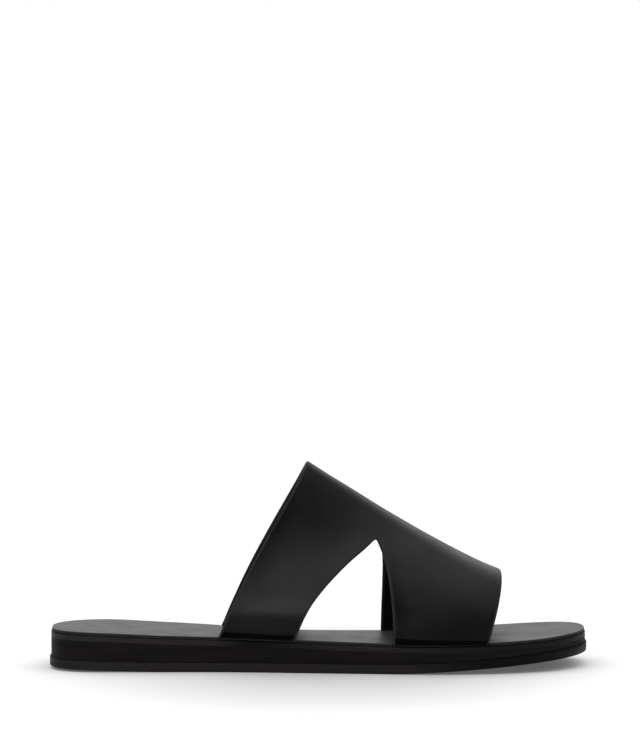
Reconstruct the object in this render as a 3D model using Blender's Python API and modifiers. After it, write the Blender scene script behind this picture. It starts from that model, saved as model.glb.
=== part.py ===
"""Slide sandal for the right foot: a wide strap on a flat layered sole.

The strap crosses the instep as one arched wall of leather. It is open at the
toe and behind the instep, and a pointed window in each side parts it into a
rear strap and a front strap, which stand on the edge of the sole.

Units are metres. +X points to the toe, -Y to the outer (lateral) side of the
foot and +Z up. The origin is on the ground under the middle of the sole.
"""
import math

import bmesh
import bpy
from mathutils import Vector

# Sole in plan
LENGTH = 0.2700
HEEL_WIDTH = 0.0712
WAIST_WIDTH = 0.0530
BALL_WIDTH = 0.0868
HEEL_ROUNDING = 0.0340
TOE_ROUNDING = 0.0440

# Sole from the side
HEEL_THICKNESS = 0.0190
TOE_THICKNESS = 0.0114
HEEL_LIFT = 0.0013
HEEL_LIFT_REACH = 0.0550
HEEL_LIFT_CURVE = 1.0
TOE_SPRING = 0.0073
TOE_SPRING_REACH = 0.1000
TOE_SPRING_CURVE = 1.35

# Layers of the sole, from the ground up; the midsole takes the height that is left
OUTSOLE_THICKNESS = 0.0046
RAND_THICKNESS = 0.0028
INSOLE_THICKNESS = 0.0013
MIDSOLE_STEP = 0.0007
INSOLE_STEP = 0.0004
OUTSOLE_ROUNDING = 0.0007
LAYER_BEVEL = 0.0004
INSOLE_BEVEL = 0.0004
CLEARANCE = 0.0003

# Upper: one wall of leather
WALL = 0.0024
EDGE_ROUNDING = 0.0008
UPPER_INSET = 0.0007
INSTEP_HEIGHT = 0.1035
TOE_OPENING_HEIGHT = 0.0480
REAR_STRAP_START = 0.0847
REAR_PEAK = 0.1291
REAR_STRAP_LENGTH = 0.0380
FRONT_STRAP_START = 0.1713
FRONT_STRAP_LENGTH = 0.0477
TOE_EDGE_LEAN = 0.0080
TOE_EDGE_CURVE = 1.25
WINDOW_APEX = 0.1637
WINDOW_HEIGHT = 0.0670
MEDIAL_WINDOW_SETBACK = 0.0053
MEDIAL_REAR_ADVANCE = 0.0009
ARCH_FULLNESS = 2.5
TUCK_HEIGHT = 0.28
RIDGE_SPLIT = 0.36
LEAN_ALLOWANCE = 1.10

# How finely the surfaces are cut
END_STEPS = 11
SIDE_STEPS = 20
STRAP_COLUMNS = 9
LOWER_ROWS = 10
UPPER_ROWS = 6
NOTCH_STEPS = 8
SMOOTH_UP_TO = math.radians(35)
CUT_EDGE_FROM = math.radians(60)

# Plan of the sole. "heel" and "ball" are the parts that HEEL_WIDTH and
# BALL_WIDTH have in the width there, and WAIST_WIDTH has the rest. "centre" is
# the curve of the last, a share of BALL_WIDTH towards the inner side.
PLAN = (
    # along, heel,  ball,  centre
    (0.000, 0.95, 0.00, -0.010),
    (0.050, 0.98, 0.00, 0.010),
    (0.120, 1.00, 0.00, 0.028),
    (0.204, 0.93, 0.00, 0.023),
    (0.278, 0.65, 0.00, -0.004),
    (0.352, 0.25, 0.00, -0.054),
    (0.415, 0.04, 0.00, -0.097),
    (0.470, 0.00, 0.01, -0.120),
    (0.537, 0.00, 0.15, -0.117),
    (0.607, 0.00, 0.36, -0.100),
    (0.685, 0.00, 0.68, -0.069),
    (0.759, 0.00, 0.92, -0.025),
    (0.822, 0.00, 1.00, 0.017),
    (0.889, 0.00, 1.01, 0.062),
    (1.000, 0.00, 1.02, 0.105),
)
# Fullness of the rounded ends, 2 being an ellipse
HEEL_FULLNESS = {"lateral": 2.8, "medial": 2.05}
TOE_FULLNESS = {"lateral": 2.2, "medial": 2.5}

# Thickness of the whole sole: 1 is HEEL_THICKNESS and 0 is TOE_THICKNESS
THICKNESS = (
    # along, share
    (0.000, 1.000),
    (0.093, 0.974),
    (0.278, 0.816),
    (0.537, 0.568),
    (0.630, 0.474),
    (0.726, 0.314),
    (0.837, 0.140),
    (0.907, 0.046),
    (1.000, 0.000),
)

# Ridge of the arch: its height between TOE_OPENING_HEIGHT (0) and
# INSTEP_HEIGHT (1), and its place and the widest part of each side, as shares
# of BALL_WIDTH from the middle line of the sole
ARCH = (
    # along, height, ridge, lateral, medial
    (0.315, 1.500, -0.045, -0.400, 0.330),
    (0.400, 1.241, -0.065, -0.427, 0.250),
    (0.480, 0.995, -0.075, -0.452, 0.228),
    (0.555, 0.764, -0.070, -0.474, 0.250),
    (0.625, 0.550, -0.050, -0.494, 0.315),
    (0.690, 0.364, -0.020, -0.505, 0.395),
    (0.755, 0.187, 0.010, -0.506, 0.460),
    (0.800, 0.074, 0.030, -0.496, 0.495),
    (0.850, -0.030, 0.045, -0.470, 0.515),
)

# Rear edge of the upper: how far it bows forward of a straight line
REAR_EDGE_BOW = {"lateral": 0.0130, "medial": 0.0110}

# Sides of the window, by height. "rear" runs from the foot of the rear strap
# (0) to the apex (1), and the others from the apex (0) to the foot of the front
# strap (1) on the outer and the inner side.
WINDOW = (
    # height, rear, lateral, medial
    (0.00, 0.000, 1.00, 1.00),
    (0.10, 0.071, 1.03, 1.05),
    (0.25, 0.187, 1.03, 1.15),
    (0.40, 0.344, 0.97, 1.28),
    (0.55, 0.515, 0.86, 1.38),
    (0.70, 0.685, 0.71, 1.43),
    (0.85, 0.855, 0.47, 1.15),
    (1.00, 1.000, 0.00, 0.00),
)


def from_table(rows, where):
    """Values of a table at one place, on a smooth curve through its rows."""
    places = [row[0] for row in rows]
    last = len(rows) - 2
    index = 0
    while index < last and where > places[index + 1]:
        index += 1

    def slope(segment, column):
        segment = min(max(segment, 0), last)
        rise = rows[segment + 1][column] - rows[segment][column]
        return rise / (places[segment + 1] - places[segment])

    def tangent(row, column):
        before = places[row] - places[max(row - 1, 0)]
        after = places[min(row + 1, last + 1)] - places[row]
        total = before + after
        return (slope(row - 1, column) * after + slope(row, column) * before) / total

    span = places[index + 1] - places[index]
    part = (where - places[index]) / span
    values = []
    for column in range(1, len(rows[0])):
        low, high = rows[index][column], rows[index + 1][column]
        if part < 0 or part > 1:
            edge = index if part < 0 else index + 1
            values.append(rows[edge][column] + slope(index, column) * (where - places[edge]))
            continue
        square, cube = part * part, part * part * part
        values.append(
            low * (2 * cube - 3 * square + 1)
            + high * (3 * square - 2 * cube)
            + tangent(index, column) * span * (cube - 2 * square + part)
            + tangent(index + 1, column) * span * (cube - square)
        )
    return values


def mix(low, high, share):
    return low + (high - low) * share


def rounding(distance, reach, fullness):
    """Share of the full width left at a distance from a rounded end."""
    if distance >= reach:
        return 1.0
    return max(0.0, 1.0 - (1.0 - distance / reach) ** fullness) ** (1.0 / fullness)


def plan_edge(along, side):
    """Y of the sole's edge at a distance from the heel."""
    heel, ball, centre = from_table(PLAN, along / LENGTH)
    width = heel * HEEL_WIDTH + ball * BALL_WIDTH + (1 - heel - ball) * WAIST_WIDTH
    width *= rounding(along, HEEL_ROUNDING, HEEL_FULLNESS[side])
    width *= rounding(LENGTH - along, TOE_ROUNDING, TOE_FULLNESS[side])
    sign = -1 if side == "lateral" else 1
    return centre * BALL_WIDTH + sign * width / 2


def ground_height(along):
    """Height of the tread above the ground: heel lift, flat, toe spring."""
    heel = max(0.0, 1 - along / HEEL_LIFT_REACH)
    toe = max(0.0, 1 - (LENGTH - along) / TOE_SPRING_REACH)
    return HEEL_LIFT * heel ** HEEL_LIFT_CURVE + TOE_SPRING * toe ** TOE_SPRING_CURVE


def sole_thickness(along):
    share, = from_table(THICKNESS, along / LENGTH)
    return mix(TOE_THICKNESS, HEEL_THICKNESS, share)


def insole_top(along):
    return ground_height(along) + sole_thickness(along)


def insole_bottom(along):
    return insole_top(along) - INSOLE_THICKNESS


def rand_top(along):
    return insole_bottom(along) - CLEARANCE


def rand_bottom(along):
    return rand_top(along) - RAND_THICKNESS


def outsole_top(along):
    return ground_height(along) + OUTSOLE_THICKNESS


def stations(side):
    """Distances from the heel for one side's points, close together at both ends."""
    heel, toe = HEEL_FULLNESS[side], TOE_FULLNESS[side]
    result = []
    for step in range(END_STEPS):
        angle = math.pi / 2 * step / END_STEPS
        result.append(HEEL_ROUNDING * (1 - math.cos(angle) ** (2 / heel)))
    straight = LENGTH - HEEL_ROUNDING - TOE_ROUNDING
    for step in range(SIDE_STEPS + 1):
        result.append(HEEL_ROUNDING + straight * step / SIDE_STEPS)
    for step in range(END_STEPS - 1, -1, -1):
        angle = math.pi / 2 * step / END_STEPS
        result.append(LENGTH - TOE_ROUNDING * (1 - math.cos(angle) ** (2 / toe)))
    return result


def side_points(side, inset):
    """Plan points of one side from heel to toe, moved in by inset."""
    line = [Vector((along, plan_edge(along, side))) for along in stations(side)]
    inward = -1 if side == "medial" else 1
    result = []
    for index, point in enumerate(line):
        if index == 0:
            normal = Vector((1, 0))
        elif index == len(line) - 1:
            normal = Vector((-1, 0))
        else:
            run = (line[index + 1] - line[index - 1]).normalized()
            normal = Vector((-run.y, run.x)) * inward
        result.append(point + normal * inset)
    return result


MIDDLE = Vector((
    LENGTH / 2,
    (min(point.y for point in side_points("lateral", 0))
     + max(point.y for point in side_points("medial", 0))) / 2,
    0,
))


def link(name, build, collection, material=None):
    """Turn a finished bmesh into an object with outward normals."""
    bmesh.ops.recalc_face_normals(build, faces=build.faces)
    mesh = bpy.data.meshes.new(name)
    build.to_mesh(mesh)
    build.free()
    piece = bpy.data.objects.new(name, mesh)
    collection.objects.link(piece)
    piece.location = -MIDDLE
    if material:
        mesh.materials.append(material)
    mesh.shade_smooth()
    mesh.set_sharp_from_angle(angle=SMOOTH_UP_TO)
    return piece


def loft_layer(name, profile, collection, material):
    """One layer of the sole: rings around the plan, capped across its width.

    Each row of the profile is an inset from the plan and the function and
    offset that give the ring's height.
    """
    build = bmesh.new()
    rings = []
    for inset, height, offset in profile:
        lateral = side_points("lateral", inset)
        medial = side_points("medial", inset)
        ring = lateral + medial[-2:0:-1]
        rings.append([
            build.verts.new((point.x, point.y, height(point.x) + offset))
            for point in ring
        ])
    count = len(rings[0])
    for low, high in zip(rings, rings[1:]):
        for index in range(count):
            after = (index + 1) % count
            build.faces.new((low[index], low[after], high[after], high[index]))
    tip = count // 2
    for ring in (rings[0], rings[-1]):
        for index in range(tip):
            across = (ring[index], ring[index + 1], ring[-index - 1], ring[-index])
            if index == 0:
                across = (ring[0], ring[1], ring[-1])
            elif index == tip - 1:
                across = (ring[index], ring[index + 1], ring[-index])
            build.faces.new(across)
    return link(name, build, collection, material)


def make_outsole(collection, material):
    profile = []
    for angle in (0, math.pi / 4, math.pi / 2):
        inset = OUTSOLE_ROUNDING * (1 - math.sin(angle))
        profile.append((inset, ground_height, OUTSOLE_ROUNDING * (1 - math.cos(angle))))
    profile.append((0, outsole_top, -LAYER_BEVEL))
    profile.append((LAYER_BEVEL, outsole_top, 0))
    return loft_layer("outsole", profile, collection, material)


def make_midsole(collection, material):
    profile = (
        (MIDSOLE_STEP, outsole_top, CLEARANCE),
        (MIDSOLE_STEP, rand_bottom, -CLEARANCE),
    )
    return loft_layer("midsole", profile, collection, material)


def make_rand(collection, material):
    inset = MIDSOLE_STEP
    profile = (
        (inset, rand_bottom, 0),
        (inset, rand_top, -LAYER_BEVEL),
        (inset + LAYER_BEVEL, rand_top, 0),
    )
    return loft_layer("rand", profile, collection, material)


def seat(along):
    """Height of the foot of the upper, which stands on the rand."""
    return rand_top(along) + CLEARANCE


def ridge_height(along):
    share = from_table(ARCH, along / LENGTH)[0]
    return mix(TOE_OPENING_HEIGHT, INSTEP_HEIGHT, share)


def arch_rise(along):
    return ridge_height(along) - seat(along)


def upper_point(along, height, side):
    """Outer surface of the upper, at a share of the arch's height on one side."""
    _, ridge, lateral, medial = from_table(ARCH, along / LENGTH)
    widest = (lateral if side == "lateral" else medial) * BALL_WIDTH
    ridge *= BALL_WIDTH
    inward = 1 if side == "lateral" else -1
    foot = plan_edge(along, side) + inward * UPPER_INSET
    spread = max(0.0, 1 - height ** ARCH_FULLNESS) ** (1 / ARCH_FULLNESS)
    tuck = max(0.0, 1 - height / TUCK_HEIGHT) ** 2
    across = ridge + (widest - ridge) * spread + (foot - widest) * tuck
    return Vector((along, across, seat(along) + arch_rise(along) * height))


APEX_SHARE = (WINDOW_HEIGHT - seat(WINDOW_APEX)) / arch_rise(WINDOW_APEX)


def edges_at(height, side):
    """Rear edge, both window edges and toe edge of the upper at a share of its height."""
    rear_foot, front_foot = REAR_STRAP_START, FRONT_STRAP_START
    closing_share, lateral_share, medial_share = from_table(
        WINDOW, min(height / APEX_SHARE, 1.0))
    opening_share = lateral_share
    if side == "medial":
        rear_foot += MEDIAL_REAR_ADVANCE
        front_foot -= MEDIAL_WINDOW_SETBACK
        opening_share = medial_share
    rear = mix(rear_foot, REAR_PEAK, height)
    rear += REAR_EDGE_BOW[side] * height ** 2 * (1 - height)
    toe = FRONT_STRAP_START + FRONT_STRAP_LENGTH
    toe += TOE_EDGE_LEAN * (1 - (1 - height) ** TOE_EDGE_CURVE)
    if height < APEX_SHARE:
        closing = mix(REAR_STRAP_START + REAR_STRAP_LENGTH, WINDOW_APEX, closing_share)
        opening = mix(WINDOW_APEX, front_foot, opening_share)
    else:
        over = (height - APEX_SHARE) / (1 - APEX_SHARE)
        closing = opening = mix(WINDOW_APEX, mix(rear, toe, RIDGE_SPLIT), over)
    return rear, closing, opening, toe


def heights():
    """Shares of the arch's height for the rows from the foot to the ridge."""
    lower = [APEX_SHARE * (row / LOWER_ROWS) ** 1.15 for row in range(LOWER_ROWS)]
    start = math.asin(APEX_SHARE ** (ARCH_FULLNESS / 2))
    rows = [mix(start, math.pi / 2, row / UPPER_ROWS) for row in range(UPPER_ROWS + 1)]
    return lower + [math.sin(angle) ** (2 / ARCH_FULLNESS) for angle in rows]


def make_upper(collection, material):
    """The arched wall: a grid of the two straps, which join above the windows."""
    build = bmesh.new()
    shares = heights()
    rows = [("lateral", share) for share in shares]
    rows += [("medial", share) for share in shares[-2::-1]]
    straps = {"rear": [], "front": []}
    for side, share in rows:
        rear, closing, opening, toe = edges_at(share, side)
        joined = share >= APEX_SHARE - 1e-9
        spans = {"rear": (rear, closing), "front": (opening, toe)}
        for strap, (start, end) in spans.items():
            line = []
            for column in range(STRAP_COLUMNS + 1):
                along = mix(start, end, column / STRAP_COLUMNS)
                if strap == "front" and column == 0 and joined:
                    line.append(straps["rear"][-1][-1])
                    continue
                line.append(build.verts.new(upper_point(along, share, side)))
            straps[strap].append(line)
    for lines in straps.values():
        for below, above in zip(lines, lines[1:]):
            for column in range(STRAP_COLUMNS):
                build.faces.new((
                    below[column], below[column + 1], above[column + 1], above[column],
                ))
    upper = link("upper", build, collection, material)
    wall = upper.modifiers.new("wall", "SOLIDIFY")
    wall.thickness = WALL
    wall.offset = -1
    wall.use_even_offset = True
    rounded = upper.modifiers.new("rounded edges", "BEVEL")
    rounded.width = EDGE_ROUNDING
    rounded.segments = 1
    rounded.limit_method = "ANGLE"
    rounded.angle_limit = CUT_EDGE_FROM
    return upper


def strap_foot(strap, side):
    """First and last place along the sole that a strap takes up within the insole."""
    top = (INSOLE_THICKNESS + CLEARANCE) / arch_rise(FRONT_STRAP_START)
    pick = (0, 1) if strap == "rear" else (2, 3)
    spans = [edges_at(share, side) for share in (0, top)]
    start = min(span[pick[0]] for span in spans)
    end = max(span[pick[1]] for span in spans)
    return start, end


def make_notch(strap, side, collection):
    """Cutter that frees the insole from the foot of one strap.

    It follows the sole's edge, and its ends are square to that edge as the
    leather's own cut edges are.
    """
    start, end = strap_foot(strap, side)
    start -= CLEARANCE
    end += CLEARANCE
    depth = UPPER_INSET + WALL * LEAN_ALLOWANCE + CLEARANCE
    inward = 1 if side == "lateral" else -1
    probe = (end - start) / NOTCH_STEPS
    inner, outer = [], []
    for step in range(NOTCH_STEPS + 1):
        along = start + probe * step
        rise = plan_edge(along + probe, side) - plan_edge(along - probe, side)
        normal = Vector((-rise, 2 * probe)).normalized() * inward
        edge = Vector((along, plan_edge(along, side)))
        inner.append(edge + normal * depth)
        outer.append(edge - normal * depth)
    build = bmesh.new()
    floor = [build.verts.new((point.x, point.y, 0)) for point in inner + outer[::-1]]
    face = build.faces.new(floor)
    raised = bmesh.ops.extrude_face_region(build, geom=[face])
    top = [item for item in raised["geom"] if isinstance(item, bmesh.types.BMVert)]
    bmesh.ops.translate(build, verts=top, vec=(0, 0, INSTEP_HEIGHT))
    cutter = link(f"notch_{strap}_{side}", build, collection)
    cutter.hide_render = True
    cutter.display_type = "WIRE"
    return cutter


def make_insole(collection, cutters, material):
    inset = MIDSOLE_STEP + INSOLE_STEP
    profile = (
        (inset, insole_bottom, 0),
        (inset, insole_top, -INSOLE_BEVEL),
        (inset + INSOLE_BEVEL, insole_top, 0),
    )
    insole = loft_layer("insole", profile, collection, material)
    for strap in ("rear", "front"):
        for side in ("lateral", "medial"):
            cut = insole.modifiers.new(f"{strap} {side} notch", "BOOLEAN")
            cut.operation = "DIFFERENCE"
            cut.solver = "EXACT"
            cut.object = make_notch(strap, side, cutters)
    return insole


def make_material(name, colour, roughness):
    material = bpy.data.materials.new(name)
    material.use_nodes = True
    shader = material.node_tree.nodes["Principled BSDF"]
    shader.inputs["Base Color"].default_value = (*colour, 1)
    shader.inputs["Roughness"].default_value = roughness
    shader.inputs["Metallic"].default_value = 0
    return material


def main():
    for item in list(bpy.data.objects):
        bpy.data.objects.remove(item, do_unlink=True)
    parts = bpy.data.collections.new("slide_sandal")
    cutters = bpy.data.collections.new("cutters")
    bpy.context.scene.collection.children.link(parts)
    bpy.context.scene.collection.children.link(cutters)
    make_outsole(parts, make_material("outsole rubber", (0.020, 0.019, 0.019), 0.65))
    make_midsole(parts, make_material("midsole rubber", (0.012, 0.011, 0.011), 0.75))
    make_rand(parts, make_material("rand leather", (0.017, 0.016, 0.016), 0.60))
    make_insole(parts, cutters, make_material("insole leather", (0.060, 0.060, 0.062), 0.50))
    make_upper(parts, make_material("upper leather", (0.010, 0.010, 0.011), 0.42))


main()
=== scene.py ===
"""Looks of a black leather slide sandal for the right foot.

The file is laid out as a Blender add-on. Each piece of the sandal is made by
one operator, in metres, around the packed model: +X points to the toe, -Y to
the outer side of the foot and +Z up.
"""
import math

import bmesh
import bpy
from mathutils import Matrix, Vector, noise


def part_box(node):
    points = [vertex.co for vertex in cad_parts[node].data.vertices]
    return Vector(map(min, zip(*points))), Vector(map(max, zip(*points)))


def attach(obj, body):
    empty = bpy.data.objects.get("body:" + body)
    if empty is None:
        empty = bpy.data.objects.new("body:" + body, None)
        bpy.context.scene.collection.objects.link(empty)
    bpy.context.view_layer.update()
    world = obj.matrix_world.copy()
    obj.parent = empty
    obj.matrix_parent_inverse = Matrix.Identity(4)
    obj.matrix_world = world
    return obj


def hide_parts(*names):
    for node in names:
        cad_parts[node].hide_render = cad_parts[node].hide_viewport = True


bl_info = {
    "name": "Slide Sandal",
    "version": (1, 0, 0),
    "blender": (4, 5, 0),
    "location": "3D View > Sidebar > Sandal",
    "description": "Builds a leather slide sandal piece by piece",
    "category": "Object",
}

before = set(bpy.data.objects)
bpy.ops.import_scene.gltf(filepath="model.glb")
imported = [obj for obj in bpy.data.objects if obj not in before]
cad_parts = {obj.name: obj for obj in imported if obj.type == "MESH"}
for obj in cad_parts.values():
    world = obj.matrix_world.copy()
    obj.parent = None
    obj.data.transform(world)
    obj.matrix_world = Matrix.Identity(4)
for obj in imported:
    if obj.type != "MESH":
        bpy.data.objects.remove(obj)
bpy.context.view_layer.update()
OUTSOLE_LOW, OUTSOLE_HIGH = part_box("outsole")
SOLE_LENGTH = OUTSOLE_HIGH.x - OUTSOLE_LOW.x
INSTEP_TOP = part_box("upper")[1].z

# Plan of the sole. "heel" and "ball" are the parts that the heel's and the
# ball's width have in the width there, and the waist's width has the rest.
# "centre" is the curve of the last, a share of the ball's width towards the
# inner side.
PLAN = (
    # along, heel,  ball,  centre
    (0.000, 0.95, 0.00, -0.010),
    (0.050, 0.98, 0.00, 0.010),
    (0.120, 1.00, 0.00, 0.028),
    (0.204, 0.93, 0.00, 0.023),
    (0.278, 0.65, 0.00, -0.004),
    (0.352, 0.25, 0.00, -0.054),
    (0.415, 0.04, 0.00, -0.097),
    (0.470, 0.00, 0.01, -0.120),
    (0.537, 0.00, 0.15, -0.117),
    (0.607, 0.00, 0.36, -0.100),
    (0.685, 0.00, 0.68, -0.069),
    (0.759, 0.00, 0.92, -0.025),
    (0.822, 0.00, 1.00, 0.017),
    (0.889, 0.00, 1.01, 0.062),
    (1.000, 0.00, 1.02, 0.105),
)
# Fullness of the rounded ends, 2 being an ellipse
HEEL_FULLNESS = {"lateral": 2.8, "medial": 2.05}
TOE_FULLNESS = {"lateral": 2.2, "medial": 2.5}

# Thickness of the whole sole: 1 is the heel's thickness and 0 is the toe's
THICKNESS = (
    # along, share
    (0.000, 1.000),
    (0.093, 0.974),
    (0.278, 0.816),
    (0.537, 0.568),
    (0.630, 0.474),
    (0.726, 0.314),
    (0.837, 0.140),
    (0.907, 0.046),
    (1.000, 0.000),
)

# Ridge of the arch: its height between the toe opening's (0) and the instep's
# (1), and its place and the widest part of each side, as shares of the ball's
# width from the middle line of the sole
ARCH = (
    # along, height, ridge, lateral, medial
    (0.315, 1.500, -0.045, -0.400, 0.330),
    (0.400, 1.241, -0.065, -0.427, 0.250),
    (0.480, 0.995, -0.075, -0.452, 0.228),
    (0.555, 0.764, -0.070, -0.474, 0.250),
    (0.625, 0.550, -0.050, -0.494, 0.315),
    (0.690, 0.364, -0.020, -0.505, 0.395),
    (0.755, 0.187, 0.010, -0.506, 0.460),
    (0.800, 0.074, 0.030, -0.496, 0.495),
    (0.850, -0.030, 0.045, -0.470, 0.515),
)

# Rear edge of the upper: how far it bows forward of a straight line
REAR_EDGE_BOW = {"lateral": 0.0130, "medial": 0.0110}

# Sides of the window, by height. "rear" runs from the foot of the rear strap
# (0) to the apex (1), and the others from the apex (0) to the foot of the front
# strap (1) on the outer and the inner side.
WINDOW = (
    # height, rear, lateral, medial
    (0.00, 0.000, 1.00, 1.00),
    (0.10, 0.071, 1.03, 1.05),
    (0.25, 0.187, 1.03, 1.15),
    (0.40, 0.344, 0.97, 1.28),
    (0.55, 0.515, 0.86, 1.38),
    (0.70, 0.685, 0.71, 1.43),
    (0.85, 0.855, 0.47, 1.15),
    (1.00, 1.000, 0.00, 0.00),
)

# Light and dark places on the sides of the upper, in metres along the sole and
# above the ground: painted highlights and painted shade, with a thin light scuff
# line along the rear strap's bend. "amount" is added to the tone, which runs
# from dark (0) to light (1).
HIDE_MARKS_AND_PAINTED_LIGHT = (
    # along, height, along spread, height spread, amount
    (0.110, 0.043, 0.018, 0.010, 0.40),
    (0.108, 0.0335, 0.016, 0.0028, 0.42),
    (0.139, 0.055, 0.015, 0.010, 0.30),
    (0.154, 0.0595, 0.008, 0.008, 0.30),
    (0.1415, 0.0505, 0.006, 0.006, 0.12),
    (0.128, 0.033, 0.007, 0.008, 0.20),
    (0.180, 0.062, 0.017, 0.012, 0.40),
    (0.209, 0.049, 0.016, 0.012, 0.34),
    (0.103, 0.056, 0.006, 0.014, -0.40),
    (0.093, 0.038, 0.004, 0.007, -0.20),
    (0.112, 0.080, 0.005, 0.013, -0.16),
    (0.127, 0.084, 0.011, 0.011, -0.16),
    (0.141, 0.074, 0.010, 0.008, -0.08),
    (0.1745, 0.030, 0.0035, 0.010, -0.32),
    (0.1710, 0.048, 0.0025, 0.008, -0.22),
    (0.206, 0.020, 0.018, 0.009, -0.44),
    (0.114, 0.0315, 0.008, 0.0009, 0.20),
)
HIDE_MIDDLE = 0.38

# Foot of each strap. "darkening" is the part of its tone taken away below the
# bend: painted shade low on the strap, above the sole. "gloss" is the part of its
# gloss that is left at the foot, and the gloss comes back between the two heights
# above the foot.
STRAP_FEET = {
    # strap: darkening, gloss, from, to
    "rear": (0.90, 0.50, 0.0028, 0.0038),
    "front": (0.40, 0.45, 0.0040, 0.0200),
}
# How far below the bend the painted shade of the foot ends, and how softly
FOOT_SHADE_DROP = 0.0006
FOOT_SHADE_SOFTNESS = 0.0007

# Rows of faces of the upper, counted from its foot, that lie in the crease and take a dark, nearly
# glossless material: painted shade
SHADED_FOOT_ROWS = {"rear": (1, 2), "front": (1, 2, 3, 4)}

# Tone of the rand's and the outsole's side along the sole, from dark (0) to
# light (1), both darker towards the toe. The rand's dark stretch under the rear
# strap's foot is painted shade.
SIDE_TONES = (
    # along, rand, outsole
    (0.00, 0.50, 0.50),
    (0.09, 0.90, 0.80),
    (0.16, 0.90, 1.00),
    (0.27, 0.95, 0.95),
    (0.33, 0.45, 1.00),
    (0.36, 0.08, 1.00),
    (0.41, 0.12, 1.00),
    (0.47, 0.45, 1.00),
    (0.55, 0.70, 0.85),
    (0.65, 0.50, 0.80),
    (0.72, 0.40, 0.35),
    (0.80, 0.25, 0.08),
    (0.92, 0.20, 0.05),
    (1.00, 0.15, 0.20),
)

SIDES = ("lateral", "medial")
STRAPS = ("rear", "front")

# Size of the photograph, and where the origin falls in it, in pixels
PHOTO_SIZE = (640, 747)
PHOTO_ORIGIN = (318.9, 664.4)


def length(default, name, description):
    """A size that a user would change."""
    return bpy.props.FloatProperty(
        name=name, description=description, default=default,
        min=0.0, precision=4, subtype="DISTANCE", unit="LENGTH")


def share(default, name, description):
    """A part of a whole."""
    return bpy.props.FloatProperty(
        name=name, description=description, default=default,
        min=0.0, max=1.0, subtype="FACTOR")


def brightness(default, name, description):
    """The strength of a light."""
    return bpy.props.FloatProperty(
        name=name, description=description, default=default, min=0.0, max=10.0)


def colour(default, name, description):
    """A linear colour of a material."""
    return bpy.props.FloatVectorProperty(
        name=name, description=description, default=default,
        size=3, min=0.0, max=1.0, subtype="COLOR")


class SoleSettings(bpy.types.PropertyGroup):
    """Sizes of the sole and its layers"""

    length: length(SOLE_LENGTH, "Length", "Heel to toe along the outsole")
    heel_width: length(0.0712, "Heel width", "Widest place of the heel")
    waist_width: length(0.0530, "Waist width", "Narrowest place, under the arch of the foot")
    ball_width: length(0.0868, "Ball width", "Width across the ball of the foot")
    heel_rounding: length(0.0340, "Heel rounding", "Length of the rounded heel end")
    toe_rounding: length(0.0440, "Toe rounding", "Length of the rounded toe end")
    heel_thickness: length(0.0190, "Heel thickness", "Whole sole at the heel")
    toe_thickness: length(0.0114, "Toe thickness", "Whole sole at the toe")
    heel_lift: length(0.0013, "Heel lift", "Height of the back of the tread")
    heel_lift_reach: length(0.0550, "Heel lift reach", "Length over which the heel lifts")
    toe_spring: length(0.0073, "Toe spring", "Height of the tread's tip")
    toe_spring_reach: length(0.1000, "Toe spring reach", "Length over which the toe rises")
    outsole: length(0.0046, "Outsole", "Thickness of the rubber outsole")
    rand: length(0.0028, "Rand", "Thickness of the band under the insole")
    insole: length(0.0013, "Insole", "Thickness of the leather insole")
    midsole_step: length(0.0007, "Midsole step", "How far the outsole stands proud")
    insole_step: length(0.0004, "Insole step", "How far the insole stays in from the rand")
    clearance: length(0.0003, "Seam", "Width of the seams between the layers")


class UpperSettings(bpy.types.PropertyGroup):
    """Sizes of the leather upper"""

    wall: length(0.0024, "Leather", "Thickness of the leather")
    edge_rounding: length(0.0011, "Edge rounding", "Depth of the rounded cut edges")
    inset: length(0.0007, "Inset", "From the sole's edge to the strap's foot")
    instep_height: length(INSTEP_TOP + 0.0004, "Instep height", "Top of the rear edge")
    toe_height: length(0.0480, "Toe opening height", "Top of the toe opening")
    rear_start: length(0.0847, "Rear strap start", "Heel to the rear strap's foot")
    rear_peak: length(0.1291, "Rear peak", "Heel to the top of the rear edge")
    rear_length: length(0.0380, "Rear strap foot", "Length of the rear strap's foot")
    front_start: length(0.1713, "Front strap start", "Heel to the front strap's foot")
    front_length: length(0.0477, "Front strap foot", "Length of the front strap's foot")
    toe_lean: length(0.0080, "Toe edge lean", "How far the toe edge leans forward")
    apex: length(0.1637, "Window apex", "Heel to the top corner of the windows")
    window_height: length(0.0670, "Window height", "Ground to the windows' top corner")
    medial_window_setback: length(0.0053, "Inner window", "Inner front strap's longer foot")
    medial_rear_advance: length(0.0009, "Inner rear edge", "Inner rear strap's shorter foot")
    bend_height: length(0.0142, "Bend height", "Foot to the soft bend of the straps")
    bend_rise: length(0.0004, "Bend rise", "How far the bend stands out")
    bend_softness: length(0.0048, "Bend softness", "Half height of the bend")
    foot_tuck: length(0.0007, "Foot tuck", "How far the strap's foot draws in above the sole")
    # These heights also place the painted shade line at each strap's foot
    rear_crease: length(0.0026, "Rear crease", "Height of the dark line at the rear strap's foot")
    front_crease: length(0.0015, "Front crease", "The same at the front strap's foot")
    undulation: length(0.00018, "Undulation", "Depth of the leather's slow waves")
    tuck: share(0.28, "Tuck", "Share of the arch over which the wall leans out")


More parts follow.
